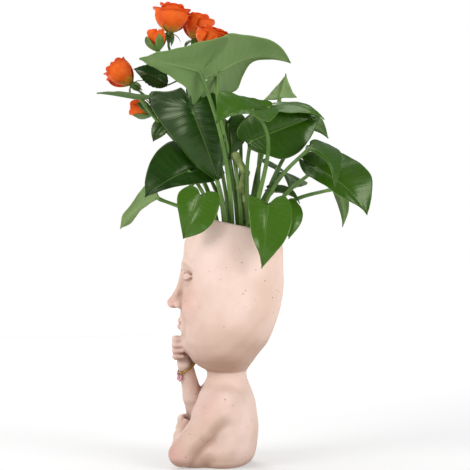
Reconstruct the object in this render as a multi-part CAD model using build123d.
from build123d import *
import math
import os

os.makedirs("parts", exist_ok=True)

# A head-shaped planter with a planted grow pot, in millimetres.
# +X is the figure's left, -Y is the way the face looks, +Z is up.
# The origin is the point of the flat base under the middle of the neck.

# Casting: overall sizes
neck_z = 82.0           # height of the crease between head and neck
head_height = 144.0     # from the crease to the highest point of the uncut head
head_depth = 92.0       # front to back
head_width = 90.0       # side to side
torso_width = 78.0
torso_depth = 60.0
wall = 4.5              # thickness of the head's shell
rim_front_z = 223.0     # height of the rim over the forehead
rim_drop = 17.5         # how much lower the rim is at the back of the head
rim_front_share = 0.36  # places of the rim's front and back, as shares of head_depth
rim_back_share = 0.53
cavity_floor_z = 110.0
drain_radius = 5.0      # the drain hole runs down to the base, in line with the grow pot
overrun = 3.0           # how far cutting shapes pass the faces that they cut

# Head and torso outlines: rows of (height, front, back, half width).
# Height is a share of head_height above the crease, or of neck_z above the base.
# Front and back are shares of the depth from the neck's axis, half width of the width.
head_outline_shares = [
    (0.000, 0.188, 0.190, 0.195),
    (0.030, 0.262, 0.212, 0.262),
    (0.065, 0.330, 0.252, 0.335),
    (0.110, 0.375, 0.306, 0.392),
    (0.170, 0.411, 0.378, 0.437),
    (0.260, 0.430, 0.450, 0.474),
    (0.354, 0.436, 0.502, 0.492),
    (0.450, 0.437, 0.538, 0.499),
    (0.560, 0.436, 0.554, 0.500),
    (0.700, 0.430, 0.550, 0.493),
    (0.820, 0.410, 0.542, 0.476),
    (0.910, 0.370, 0.530, 0.455),
    (1.000, 0.310, 0.510, 0.425),
]
torso_outline_shares = [
    (0.000, 0.440, 0.300, 0.420),
    (0.030, 0.462, 0.350, 0.447),
    (0.090, 0.474, 0.405, 0.470),
    (0.160, 0.470, 0.436, 0.486),
    (0.300, 0.445, 0.463, 0.498),
    (0.450, 0.415, 0.466, 0.500),
    (0.570, 0.390, 0.452, 0.495),
    (0.680, 0.365, 0.424, 0.465),
    (0.770, 0.340, 0.388, 0.395),
    (0.860, 0.312, 0.344, 0.300),
    (0.940, 0.290, 0.302, 0.236),
    (1.015, 0.288, 0.292, 0.225),
]

# Arms: joints as points, and limb radii
shoulder_at = (28.5, -4.0, 56.0)    # the left one; the right one mirrors it
left_elbow_at = (29.5, -40.0, 12.8)
left_wrist_at = (5.0, -41.0, 24.0)
left_palm_at = (-6.0, -38.5, 29.5)
right_elbow_at = (-24.0, -24.0, 26.0)
right_wrist_at = (-10.5, -38.0, 88.0)
right_palm_at = (-11.0, -41.5, 103.0)
shoulder_radius = 13.0
elbow_radius = 10.4
forearm_radius = 9.2
wrist_radius = 6.6
palm_radius = 7.6
finger_radius = 3.0
finger_reach = 13.5     # from knuckle to middle joint
finger_hook = 7.0       # from middle joint to tip
finger_pitch = 5.2      # from one finger to the next
finger_count = 4
longest_finger = 1          # counted from 0 at the top of the hand
finger_slim_share = 0.07    # how much slimmer each finger is, for each step from the longest
finger_short_share = 0.08   # and how much shorter
finger_taper_shares = (1.00, 0.95, 0.88)    # radius at the knuckle, middle joint and tip
knuckle_share = 0.45        # place of the knuckles in front of the palm, in palm radii
right_finger_ways = ((1.0, -0.12, 0.05), (0.15, 1.0, 0.05))     # to the middle joint, then to the tip
left_finger_ways = ((-1.0, 0.05, 0.10), (-0.35, 1.0, 0.05))
forearm_share = 0.5         # place of the forearm's fullest section, from elbow to wrist
joint_step_share = 0.96     # step in radius from one limb piece to the next
thumb_radius = 3.4
thumb_reach = 13.0
thumb_root_shares = (0.0, 0.3, 0.4)     # place of its knuckle before and below the palm, in palm radii
thumb_tip_share = 0.85                  # radius at the tip, as a share of thumb_radius
right_thumb_way = (-0.5, 0.6, 0.9)
left_thumb_way = (-0.4, -0.1, 0.9)

# Face, on the rule of thirds: hairline to brow, brow to nose, nose to chin
chin_z = 98.0
face_share = 0.43       # how far the face is before the neck's axis, as a share of head_depth
nose_proud = 13.5       # a third of the nose's length
nose_half_width = 6.5
lip_half_width = 8.4
lip_half_height = 2.5
lip_proud = 3.6
lip_rise_share = 0.8                    # height of the upper lip over the mouth, in lip_half_height
lower_lip_shares = (0.85, 1.10, 1.25)   # width, depth and height, as shares of the upper lip's
lid_half_width = 9.5
lid_half_height = 6.2
lid_proud = 1.6
lid_depth = 6.0
eye_spacing = 34.0
feature_sink = 3.0      # how deep the features start inside the face

# Nose sections from its root down: (height as a share of the face's third above the
# nose's base, half width and depth as shares of nose_half_width and nose_proud)
nose_section_shares = [
    (0.84, 0.26, 0.16),
    (0.60, 0.36, 0.46),
    (0.32, 0.58, 0.80),
    (0.12, 0.96, 1.00),
    (0.02, 0.90, 0.74),
]

# Bracelet: a band in a groove round the right wrist, and its flower
band_radius = 9.0
band_tube_radius = 1.15
band_tilt = 21.0
band_share = 0.94       # place along the forearm, from elbow to wrist
flower_share = 0.82
seat_clearance = 0.1
petal_count = 5
petal_radius = 2.4
petal_thickness = 1.7
petal_ring_radius = 2.7
bead_radius = 1.6
flower_turn = 30.0

# Grow pot, standing on the floor of the head
pot_y = 8.5
pot_foot_radius = 20.5
pot_top_radius = 31.0
pot_lip_radius = 32.5
pot_lip_height = 4.0
pot_height = 86.0
pot_wall = 1.2
pot_lift = 0.3          # clearance under the pot
slot_count = 6
slot_width = 3.0
slot_height = 7.0
soil_drop = 6.0         # from the pot's lip to the soil
soil_clearance = 0.2
soil_crown = 2.5
crown_middle_share = 0.8     # rise of the crown half way out, as a share of soil_crown
root_depth = 12.0       # how deep the stems go into the soil
stem_clearance = 0.1
collar_rise = 1.5       # straight stem above the soil's crown

# Leaves
spray_reach = 100.0     # reference reach of the foliage from the middle of the soil
leaf_thickness = 0.8
petiole_root_radius = 2.2
petiole_tip_radius = 1.5
rose_leaf_thickness = 0.7
rose_petiole_radius = 0.9

# Leaf margins from the notch to the tip: (place along the midrib, half width), in shares
# of the blade's length and half width.
heart_margin_shares = [
    (0.000, 0.000),
    (-0.140, 0.200),
    (-0.205, 0.480),
    (-0.150, 0.780),
    (0.040, 0.965),
    (0.270, 1.000),
    (0.480, 0.880),
    (0.680, 0.610),
    (0.840, 0.310),
    (0.950, 0.100),
    (1.000, 0.000),
]
oval_margin_shares = [
    (0.000, 0.000),
    (0.060, 0.420),
    (0.200, 0.840),
    (0.400, 1.000),
    (0.620, 0.860),
    (0.820, 0.480),
    (0.950, 0.140),
    (1.000, 0.000),
]
blade_place_shares = (-0.26, 0.00, 0.26, 0.52, 0.78, 1.04)
blade_across_shares = (-1.06, -0.55, 0.00, 0.55, 1.06)
blade_cup_share = 0.12      # how far the margins curl down, as a share of the half width
stem_foot_share = 1.12      # radius of a stem's foot, as a share of the stem's root radius
joint_ball_share = 1.20     # radius of the knuckle at a stem's end, as a share of its radius
stem_rise_share = 0.52      # length of a stem's first leg
stem_lean_share = 0.12      # how much the first leg leans towards the leaf
stem_arrival_share = 0.25   # length of the last leg, along the blade
stem_swing_share = 0.35     # how much the last leg swings to the blade's midrib and upper side
stem_step_share = 0.01      # step along a stem's curve that gives its direction
joint_place_share = 0.05    # place of the petiole's end on the midrib

# Pothos leaves. Places are shares of spray_reach from the middle of the soil:
# (root x, y), (attachment x, y, z), (tip x, y, z), then the way the upper side faces,
# the width as a share of spray_reach, the fold in degrees, and the arch as a share of length.
pothos_leaf_shares = [
    ((0.24, -0.03), (0.52, -0.30, 1.56), (0.84, -0.82, 1.62), (-0.50, -0.25, 0.80), 0.72, 12, 0.04),
    ((-0.06, 0.02), (0.06, -0.09, 1.54), (-0.08, 0.48, 1.68), (-0.70, 0.10, 0.70), 0.66, 14, 0.20),
    ((-0.04, 0.11), (-0.32, 0.40, 1.40), (-0.40, 0.46, 1.64), (-0.85, 0.10, 0.20), 0.34, 14, 0.10),
    ((0.21, 0.11), (0.62, 0.15, 1.22), (0.92, -0.16, 1.10), (-0.50, 0.05, 0.85), 0.60, 10, 0.10),
    ((0.03, 0.18), (0.02, 0.28, 1.33), (0.20, 0.78, 1.20), (-0.15, 0.05, 1.00), 0.50, 12, 0.10),
    ((0.13, 0.10), (0.17, 0.20, 0.94), (0.12, 0.75, 1.20), (0.95, -0.10, 0.20), 0.52, 10, 0.06),
    ((0.13, -0.08), (0.13, -0.40, 1.28), (0.15, -0.15, 0.64), (0.97, -0.05, 0.10), 0.80, 5, 0.02),
    ((0.10, -0.18), (0.07, -0.41, 0.73), (0.14, -0.82, 0.50), (0.97, -0.15, 0.12), 0.55, 7, 0.06),
    ((0.01, -0.21), (-0.02, -0.71, 0.62), (-0.10, -0.97, 0.20), (-0.70, -0.45, 0.30), 0.32, 22, 0.08),
    ((0.19, -0.14), (0.42, -0.31, 0.49), (0.48, -0.46, 0.12), (0.90, 0.10, 0.30), 0.44, 14, 0.10),
    ((0.24, 0.04), (0.47, 0.28, 0.42), (0.60, 0.20, -0.13), (0.95, 0.05, 0.30), 0.46, 10, 0.12),
    ((0.10, 0.22), (0.18, 0.44, 0.42), (0.28, 0.47, 0.12), (0.85, 0.45, 0.25), 0.28, 12, 0.10),
    ((0.03, 0.24), (0.18, 0.69, 0.76), (0.34, 1.19, 0.36), (0.80, 0.10, 0.60), 0.52, 8, 0.08),
    ((0.17, 0.17), (0.42, 0.64, 0.93), (0.52, 0.89, 0.58), (0.60, 0.20, 0.78), 0.38, -10, 0.20),
    ((-0.04, 0.20), (-0.06, 0.58, 1.12), (-0.22, 0.84, 1.05), (-0.55, 0.25, 0.75), 0.28, 15, 0.20),
    ((-0.12, 0.21), (-0.30, 0.95, 0.51), (-0.40, 1.01, 0.23), (-0.70, 0.50, 0.40), 0.26, 20, 0.12),
    ((-0.12, 0.13), (-0.06, 0.40, 0.46), (-0.06, 0.68, 0.34), (-0.35, 0.15, 0.90), 0.18, 12, 0.14),
    ((-0.20, 0.14), (-0.40, 0.42, 0.80), (-0.80, 0.56, 0.66), (-0.55, 0.10, 0.80), 0.48, 10, 0.14),
    ((-0.08, -0.15), (0.04, -0.84, 1.38), (0.05, -1.25, 1.43), (-0.05, -0.10, 1.00), 0.26, 12, 0.00),
    ((-0.18, -0.10), (-0.42, -0.24, 0.88), (-0.78, -0.46, 0.62), (-0.60, -0.20, 0.75), 0.52, 10, 0.14),
    ((-0.20, 0.04), (-0.38, 0.04, 1.16), (-0.84, -0.02, 1.04), (-0.40, 0.00, 0.90), 0.52, 10, 0.14),
    ((0.14, 0.05), (0.21, 0.05, 1.10), (0.215, 0.07, 0.68), (0.97, -0.05, 0.10), 0.38, 5, 0.02),
]

# Roses: base of the bloom, the way it points, radius and height, in shares of spray_reach
rose_bloom_shares = {
    "rose_bloom_1": ((0.00, -0.58, 1.97), (0.00, -0.20, 1.00), 0.160, 0.28),
    "rose_bloom_2": ((-0.18, -0.38, 1.91), (-0.15, 0.15, 1.00), 0.145, 0.27),
    "rose_bloom_3": ((0.12, -0.26, 1.79), (0.15, 0.35, 0.90), 0.160, 0.26),
    "rose_bloom_4": ((0.14, -0.69, 1.76), (0.10, -0.20, 1.00), 0.095, 0.22),
    "rose_bloom_5": ((-0.10, -0.92, 1.49), (0.00, -0.72, 0.70), 0.130, 0.28),
    "rose_bloom_6": ((-0.22, -0.75, 1.22), (-0.02, -0.90, 0.40), 0.095, 0.24),
}

# Bloom outline, with the grooves between its rings of petals:
# (height, radius) in shares of its height and radius
bloom_outline_shares = [
    (0.00, 0.20),
    (0.07, 0.50),
    (0.24, 0.86),
    (0.48, 1.00),
    (0.74, 0.94),
    (0.86, 0.98),
    (0.70, 0.72),
    (0.96, 0.66),
    (0.76, 0.42),
    (1.00, 0.34),
    (0.84, 0.12),
    (0.96, 0.00),
]
receptacle_share = 0.30     # its depth, as a share of the bloom's height
sepal_share = 0.60          # reach of a sepal, as a share of the bloom's radius
sepal_count = 5
sepal_radius = 0.8
sepal_sink_share = 1.4      # how far its root lies under the bloom's base, in sepal radii
sepal_droop_share = 0.5     # how far its tip hangs down, as a share of the receptacle's depth
sepal_tip_share = 0.4       # radius at its tip, as a share of sepal_radius
cup_foot_share = 0.75       # radius of the receptacle's foot, as a share of its top radius
twig_end_share = 0.9        # where the twig ends, as a share of the receptacle's depth
fork_rise_share = 0.5       # how high the stem stays upright, as a share of the fork's height
rose_stem_radius = 2.0
rose_branch_radius = 1.5
rose_twig_radius = 1.1

# Rose sprays: root, fork, blooms, and leaves as (place on the stem's curve, attachment,
# tip, facing, width, fold, arch)
rose_spray_shares = {
    "rose_spray_1": (
        (0.01, -0.06), (-0.02, -0.44, 1.62),
        ("rose_bloom_1", "rose_bloom_2", "rose_bloom_3", "rose_bloom_4"),
        ((0.97, (-0.04, -0.58, 1.52), (-0.10, -0.82, 1.64), (0.30, -0.30, 0.90), 0.22, 12, 0.08),),
    ),
    "rose_spray_2": (
        (-0.11, -0.07), (-0.13, -0.54, 1.08),
        ("rose_bloom_5", "rose_bloom_6"),
        ((0.95, (-0.16, -0.60, 1.12), (-0.16, -0.84, 1.02), (0.60, -0.40, 0.60), 0.16, 12, 0.10),),
    ),
}

# The old stem of the pothos: root and knuckles
vine_root_share = (0.05, 0.11)
vine_knuckle_shares = [(0.05, 0.07, 0.28), (0.06, 0.11, 0.45), (0.05, 0.07, 0.53), (0.07, 0.00, 0.62)]
vine_radius = 3.4
vine_knuckle_radius = 4.2


def at(*xyz):
    return Vector(*xyz)


def mirrored(point):
    return (-point[0], point[1], point[2])


def along(start, end, share):
    """The point at that share of the way from start to end."""
    return tuple(a + (b - a) * share for a, b in zip(start, end))


def ellipse_ring(z, front, back, half_width):
    """A level elliptical section with its front and back at those distances from the neck's axis."""
    middle = (back - front) / 2
    radius = (back + front) / 2
    return Wire([(Plane((0, middle, z)) * Ellipse(half_width, radius)).edge()])


def outline_loft(shares, low_z, height, depth, width, inset=0.0):
    """A loft through the rows of an outline, drawn in by the inset."""
    rings = [
        ellipse_ring(low_z + h * height, f * depth - inset, b * depth - inset, w * width - inset)
        for h, f, b, w in shares
    ]
    return Solid.make_loft(rings)


def bone(start, end, start_radius, end_radius):
    """A limb piece: two balls and the cone that touches both, turned in one."""
    a, b = at(*start), at(*end)
    length = (b - a).length
    lean = (start_radius - end_radius) / length
    rise = math.sqrt(1 - lean * lean)
    half_lean = math.asin(lean) / 2
    low = (start_radius * rise, start_radius * lean)
    high = (end_radius * rise, length + end_radius * lean)
    low_turn, high_turn = half_lean - math.pi / 4, half_lean + math.pi / 4
    low_middle = (start_radius * math.cos(low_turn), start_radius * math.sin(low_turn))
    high_middle = (end_radius * math.cos(high_turn), length + end_radius * math.sin(high_turn))
    outline = ThreePointArc((0, -start_radius), low_middle, low) + Line(low, high)
    outline += ThreePointArc(high, high_middle, (0, length + end_radius))
    outline += Line((0, length + end_radius), (0, -start_radius))
    turned = revolve(Plane.XZ * make_face(outline), Axis.Z)
    return Plane(a, z_dir=b - a) * turned


def limb(points, radii):
    """Limb pieces in a row, each starting a little inside the ball that ends the one before."""
    ends = list(zip(points, radii))
    pieces = [bone(points[0], points[1], radii[0], radii[1])]
    for (start, start_radius), (end, end_radius) in zip(ends[1:], ends[2:]):
        pieces.append(bone(start, end, start_radius * joint_step_share, end_radius))
    return pieces


def egg(centre, half_x, half_y, half_z):
    ball = Solid.make_sphere(1.0, angle1=-90, angle2=90, angle3=360)
    return Pos(*centre) * scale(ball, by=(half_x, half_y, half_z))


def fused(pieces):
    """One solid from overlapping pieces, added one after another."""
    whole = pieces[0]
    for piece in pieces[1:]:
        whole = whole + piece
    return whole


def bezier(points, share):
    """A point of the curve that a row of control points shapes."""
    row = [at(*p) for p in points]
    while len(row) > 1:
        row = [a + (b - a) * share for a, b in zip(row, row[1:])]
    return row[0]


def tapered_stem(points, root_radius, tip_radius, rings=7):
    """A loft through circles along the curve of the control points."""
    wires = []
    for n in range(rings):
        share = n / (rings - 1)
        ahead = bezier(points, min(share + stem_step_share, 1.0))
        behind = bezier(points, max(share - stem_step_share, 0.0))
        radius = root_radius + (tip_radius - root_radius) * share
        wires.append(Wire.make_circle(radius, Plane(bezier(points, share), z_dir=ahead - behind)))
    return Solid.make_loft(wires)


def blade_point(attach, ahead, up, length, half, fold, arch, place, across):
    """A point of a blade's upper side, folded along its midrib and arched along its length."""
    spine = attach + ahead * (place * length) + up * (arch * length * 4 * place * (1 - place))
    lift = abs(across) * half * (math.sin(math.radians(fold)) - blade_cup_share * abs(across))
    return spine + up.cross(ahead) * (across * half) + up * lift


def blade(attach, tip, face, width, fold, arch, margin, thickness):
    """A leaf blade: a thin curved slab cut to its outline."""
    attach, tip, face = at(*attach), at(*tip), at(*face)
    length, half = (tip - attach).length, width / 2
    ahead = (tip - attach).normalized()
    up = (face - ahead * face.dot(ahead)).normalized()
    wires = []
    for place in blade_place_shares:
        row = [
            blade_point(attach, ahead, up, length, half, fold, arch, place, across)
            for across in blade_across_shares
        ]
        low = [point - up * thickness for point in row[::-1]]
        wires.append(Wire.make_polygon(row + low, close=True))
    slab = Solid.make_loft(wires)
    one_side = [(s * length, w * half) for s, w in margin]
    other_side = [(s * length, -w * half) for s, w in margin[::-1]]
    outline = make_face(Spline(*one_side) + Spline(*other_side))
    prism = extrude(Plane(attach, x_dir=ahead, z_dir=up) * outline, length, both=True)
    joint = blade_point(attach, ahead, up, length, half, fold, arch, joint_place_share, 0)
    return slab & prism, joint - up * (thickness / 2), ahead, up


def placed(share, base):
    """A point given in shares of spray_reach from the middle of the soil."""
    return tuple(b + s * spray_reach for s, b in zip(share, base))


# Casting: head, torso, arms, hands and face

def forearm_at(share):
    """The point at that share of the right forearm, from elbow to wrist."""
    return along(right_elbow_at, right_wrist_at, share)


def limbs():
    """Both arms with their palms, as overlapping limb pieces."""
    left = [shoulder_at, left_elbow_at, left_wrist_at, left_palm_at]
    right = [mirrored(shoulder_at), right_elbow_at, forearm_at(forearm_share), right_wrist_at, right_palm_at]
    pieces = limb(left, [shoulder_radius, elbow_radius, wrist_radius, palm_radius])
    return pieces + limb(right, [shoulder_radius, elbow_radius, forearm_radius, wrist_radius, palm_radius])


def fingers(palm, ways):
    """Fingers stacked in height: a straight piece from the palm and a hooked piece to the tip."""
    way, hook_way = (at(*w).normalized() for w in ways)
    pieces = []
    for n in range(finger_count):
        steps = abs(n - longest_finger)
        radius = finger_radius * (1 - finger_slim_share * steps)
        level = palm[2] + ((finger_count - 1) / 2 - n) * finger_pitch
        knuckle = at(palm[0], palm[1] - palm_radius * knuckle_share, level)
        middle = knuckle + way * finger_reach * (1 - finger_short_share * steps)
        tip = middle + hook_way * finger_hook
        points = [tuple(knuckle), tuple(middle), tuple(tip)]
        pieces += limb(points, [radius * share for share in finger_taper_shares])
    return pieces


def thumb(palm, way):
    """A thumb that lies across the fist."""
    knuckle = at(*palm) - at(*thumb_root_shares) * palm_radius
    tip = knuckle + at(*way).normalized() * thumb_reach
    return [bone(tuple(knuckle), tuple(tip), thumb_radius, thumb_radius * thumb_tip_share)]


def face_features():
    """Nose, lips and closed lids in plain forms, placed by thirds of the face."""
    third = (rim_front_z - chin_z) / 3
    brow_z = chin_z + 2 * third
    nose_z = chin_z + third
    mouth_z = nose_z - third / 3
    eye_z = brow_z - third / 3
    front = -face_share * head_depth
    rings = [
        Wire([(Plane((0, front + feature_sink, nose_z + h * third))
               * Ellipse(w * nose_half_width, d * nose_proud + feature_sink)).edge()])
        for h, w, d in nose_section_shares
    ]
    pieces = [Solid.make_loft(rings)]
    socket_y = front * math.sqrt(1 - (eye_spacing / head_width) ** 2)
    for side in (-1, 1):
        lid_at = (side * eye_spacing / 2, socket_y + lid_depth - lid_proud, eye_z)
        pieces.append(egg(lid_at, lid_half_width, lid_depth, lid_half_height))
    upper_lip_at = (0, front, mouth_z + lip_half_height * lip_rise_share)
    lower_lip_at = (0, front, mouth_z - lip_half_height)
    upper_lip = (lip_half_width, lip_proud, lip_half_height)
    pieces.append(egg(upper_lip_at, *upper_lip))
    lower_lip = [size * share for size, share in zip(upper_lip, lower_lip_shares)]
    pieces.append(egg(lower_lip_at, *lower_lip))
    return pieces


def wrist_band(tube_radius):
    """The ring of the bracelet, tilted on the right forearm."""
    axis = (at(*right_wrist_at) - at(*right_elbow_at)).normalized()
    centre = at(*forearm_at(band_share))
    tilted = axis.rotate(Axis.X, band_tilt)
    return Plane(centre, z_dir=tilted) * Torus(band_radius, tube_radius)


def casting():
    head = outline_loft(head_outline_shares, neck_z, head_height, head_depth, head_width)
    torso = outline_loft(torso_outline_shares, 0, neck_z, torso_depth, torso_width)
    hands = fingers(right_palm_at, right_finger_ways) + fingers(left_palm_at, left_finger_ways)
    thumbs = thumb(right_palm_at, right_thumb_way) + thumb(left_palm_at, left_thumb_way)
    body = fused([head, torso] + face_features() + limbs() + hands + thumbs)
    below = Pos(0, 0, -head_height / 2) * Box(2 * head_depth + torso_width, 2 * head_depth, head_height)
    rim_reach = (rim_front_share + rim_back_share) * head_depth
    slope = math.degrees(math.atan2(rim_drop, rim_reach))
    rim_plane = Plane((0, -rim_front_share * head_depth, rim_front_z)).rotated((-slope, 0, 0))
    above = rim_plane * Pos(0, 0, head_height / 2) * Box(3 * head_width, 3 * head_depth, head_height)
    inside = outline_loft(head_outline_shares[3:], neck_z, head_height, head_depth, head_width, wall)
    lower = Pos(0, 0, cavity_floor_z - head_height / 2) * Box(2 * head_width, 2 * head_depth, head_height)
    drain_length = cavity_floor_z + 2 * overrun
    drain = Cylinder(drain_radius, drain_length, align=(Align.CENTER, Align.CENTER, Align.MIN))
    body = body - below - above - (inside - lower) - Pos(0, pot_y, -overrun) * drain
    return body - wrist_band(band_tube_radius + seat_clearance)


def bracelet_flower():
    """Five petals and a bead, seated on the forearm under the band."""
    centre = at(*forearm_at(flower_share))
    turn = math.radians(flower_turn)
    out = at(math.sin(turn), -math.cos(turn), 0)
    taper = (flower_share - forearm_share) / (1 - forearm_share)
    reach = forearm_radius + (wrist_radius - forearm_radius) * taper
    plane = Plane(centre + out * (reach - petal_thickness), z_dir=out)
    disc = Cylinder(petal_radius, 2 * petal_thickness, align=(Align.CENTER, Align.CENTER, Align.MIN))
    ring = [
        plane * Rot(0, 0, 360 * n / petal_count) * Pos(petal_ring_radius, 0, 0) * disc
        for n in range(petal_count)
    ]
    flower = fused([plane * Pos(0, 0, 2 * petal_thickness) * Sphere(bead_radius)] + ring)
    arm_radius = forearm_radius * joint_step_share + seat_clearance
    arm = bone(forearm_at(forearm_share), right_wrist_at, arm_radius, wrist_radius + seat_clearance)
    return flower - arm - wrist_band(band_tube_radius + seat_clearance)


# Grow pot and soil

def pot_floor_z():
    return cavity_floor_z + pot_lift


def soil_top_z():
    return pot_floor_z() + pot_height - soil_drop


def grow_pot():
    """A tapered pot with a rolled lip and drain slots round its foot."""
    low = pot_floor_z()
    outline = [
        (0, low),
        (pot_foot_radius, low),
        (pot_top_radius, low + pot_height - pot_lip_height),
        (pot_lip_radius, low + pot_height - pot_lip_height),
        (pot_lip_radius, low + pot_height),
        (pot_top_radius - pot_wall, low + pot_height),
        (pot_foot_radius - pot_wall, low + pot_wall),
        (0, low + pot_wall),
    ]
    profile = make_face(Plane.XZ * Polyline(*outline, close=True))
    pot = Pos(0, pot_y, 0) * revolve(profile, Axis.Z)
    slot = Box(pot_foot_radius + 2 * overrun, slot_width, slot_height)
    reach = Pos(pot_foot_radius / 2 + slot_width + overrun, 0, low + slot_height / 2)
    cuts = [Pos(0, pot_y, 0) * Rot(0, 0, 360 * n / slot_count) * reach * slot for n in range(slot_count)]
    return pot - fused(cuts)


def soil():
    """The root ball: fills the pot to just below the lip, with a low crown."""
    low = pot_floor_z() + pot_wall + soil_clearance
    top = soil_top_z()
    slope = (pot_top_radius - pot_foot_radius) / (pot_height - pot_lip_height)
    low_radius = pot_foot_radius - pot_wall - soil_clearance * 2
    high_radius = low_radius + (top - low) * slope
    crown_middle = (high_radius / 2, top + soil_crown * crown_middle_share)
    profile = make_face(Plane.XZ * (
        Polyline((0, low), (low_radius, low), (high_radius, top))
        + ThreePointArc((high_radius, top), crown_middle, (0, top + soil_crown))
        + Line((0, top + soil_crown), (0, low))
    ))
    return Pos(0, pot_y, 0) * revolve(profile, Axis.Z)


# Plants

def soil_middle():
    return 0, pot_y, soil_top_z()


def collar_at(root):
    """The point where a stem's straight foot ends, just above the soil."""
    x, y, z = soil_middle()
    return x + root[0] * spray_reach, y + root[1] * spray_reach, z + soil_crown + collar_rise


def foot(root, radius, clearance=0.0):
    """The straight foot of a stem in the soil."""
    x, y, z = collar_at(root)
    length = root_depth + soil_crown + collar_rise + clearance
    align = (Align.CENTER, Align.CENTER, Align.MIN)
    return Pos(x, y, z - length) * Cylinder(radius * stem_foot_share + clearance, length, align=align)


def rooted_leaf(root, attach, tip, face, width, fold, arch):
    """A pothos leaf with its petiole, which starts in the soil."""
    middle = soil_middle()
    collar = at(*collar_at(root))
    ends = placed(attach, middle), placed(tip, middle)
    leaf, joint, ahead, up = blade(*ends, face, width * spray_reach, fold, arch,
                                   heart_margin_shares, leaf_thickness)
    rise = (joint - collar).length
    toward = (joint - collar).normalized()
    leaning = (at(0, 0, 1) + (toward - at(0, 0, 1)) * stem_lean_share).normalized()
    arriving = (toward + (ahead + up) * stem_swing_share).normalized()
    first_leg = leaning * (rise * stem_rise_share)
    last_leg = arriving * (rise * stem_arrival_share)
    start = collar - at(0, 0, collar_rise)
    path = [tuple(start), tuple(collar + first_leg), tuple(joint - last_leg), tuple(joint)]
    stem = tapered_stem(path, petiole_root_radius, petiole_tip_radius)
    end = Pos(joint) * Sphere(petiole_tip_radius * joint_ball_share)
    return fused([foot(root, petiole_root_radius), stem, end, leaf])


def branch(start, end, way, start_radius, end_radius):
    """A rose branch that leaves upwards and arrives along the way its bloom points."""
    reach = (at(*end) - at(*start)).length
    path = [
        start,
        tuple(at(*start) + at(0, 0, reach * stem_rise_share)),
        tuple(at(*end) - at(*way).normalized() * (reach * stem_rise_share)),
        end,
    ]
    return tapered_stem(path, start_radius, end_radius)


def bloom_plane(base, way):
    return Plane(placed(base, soil_middle()), z_dir=at(*way).normalized())


def rose_bloom(base, way, radius, height):
    """A rose: rings of petals in one turned form, on its receptacle."""
    radius, height = radius * spray_reach, height * spray_reach
    points = [(r * radius, h * height) for h, r in bloom_outline_shares]
    profile = make_face(Plane.XZ * Polyline((0, 0), *points, close=True))
    return bloom_plane(base, way) * revolve(profile, Axis.Z)


def receptacle(base, way, radius, height):
    """The green cup under a bloom, with its sepals spread outwards."""
    top_radius = bloom_outline_shares[0][1] * radius * spray_reach
    depth = receptacle_share * height * spray_reach
    plane = bloom_plane(base, way)
    cup = plane * Pos(0, 0, -depth / 2) * Cone(top_radius * cup_foot_share, top_radius, depth)
    pieces = [cup]
    for n in range(sepal_count):
        turn = math.radians(360 * n / sepal_count)
        out = plane.x_dir * math.cos(turn) + plane.y_dir * math.sin(turn)
        sink = plane.z_dir * sepal_radius * sepal_sink_share
        start = plane.origin + out * (top_radius - sepal_radius) - sink
        end = start + out * (sepal_share * radius * spray_reach) - plane.z_dir * (depth * sepal_droop_share)
        pieces.append(bone(tuple(start), tuple(end), sepal_radius, sepal_radius * sepal_tip_share))
    foot_at = plane.origin - plane.z_dir * depth * twig_end_share
    return pieces, tuple(foot_at)


def rose_spray(root, fork, blooms, leaves):
    """A rose stem with its branches, receptacles and leaves."""
    middle = soil_middle()
    collar = collar_at(root)
    fork_at = placed(fork, middle)
    start = (collar[0], collar[1], collar[2] - collar_rise)
    upright = collar[2] + (fork_at[2] - collar[2]) * fork_rise_share
    path = [start, (collar[0], collar[1], upright), fork_at]
    pieces = [foot(root, rose_stem_radius), tapered_stem(path, rose_stem_radius, rose_branch_radius)]
    pieces.append(Pos(*fork_at) * Sphere(rose_branch_radius * joint_ball_share))
    for name in blooms:
        cup, foot_at = receptacle(*rose_bloom_shares[name])
        pieces += cup
        way = rose_bloom_shares[name][1]
        pieces.append(branch(fork_at, foot_at, way, rose_branch_radius, rose_twig_radius))
    for share, attach, tip, face, width, fold, arch in leaves:
        start = tuple(bezier(path, share))
        ends = placed(attach, middle), placed(tip, middle)
        leaf, joint, ahead, up = blade(*ends, face, width * spray_reach, fold, arch,
                                       oval_margin_shares, rose_leaf_thickness)
        pieces.append(bone(start, tuple(joint), rose_twig_radius, rose_petiole_radius))
        pieces.append(leaf)
    return fused(pieces)


def vine():
    """The old pothos stem: short lengths between knuckles."""
    points = [collar_at(vine_root_share)] + [placed(p, soil_middle()) for p in vine_knuckle_shares]
    radii = [vine_radius * joint_step_share ** n for n in range(len(points))]
    knuckles = [Pos(*point) * Sphere(vine_knuckle_radius) for point in points[1:]]
    return fused([foot(vine_root_share, vine_radius)] + limb(points, radii) + knuckles)


def write(name, shape):
    solids = shape.solids()
    print(name, len(solids), [round(s.volume) for s in solids], all(s.is_valid for s in solids))
    export_step(shape, "parts/" + name + ".step")


write("planter_casting", casting())
write("bracelet_band", wrist_band(band_tube_radius))
write("bracelet_flower", bracelet_flower())
write("grow_pot", grow_pot())
holes = [foot(row[0], petiole_root_radius, stem_clearance) for row in pothos_leaf_shares]
holes += [foot(row[0], rose_stem_radius, stem_clearance) for row in rose_spray_shares.values()]
holes.append(foot(vine_root_share, vine_radius, stem_clearance))
write("potting_soil", soil() - holes)
for number, row in enumerate(pothos_leaf_shares, 1):
    write(f"pothos_leaf_{number:02d}", rooted_leaf(*row))
write("pothos_vine", vine())
for bloom_name, row in rose_bloom_shares.items():
    write(bloom_name, rose_bloom(*row))
for spray_name, row in rose_spray_shares.items():
    write(spray_name, rose_spray(*row))
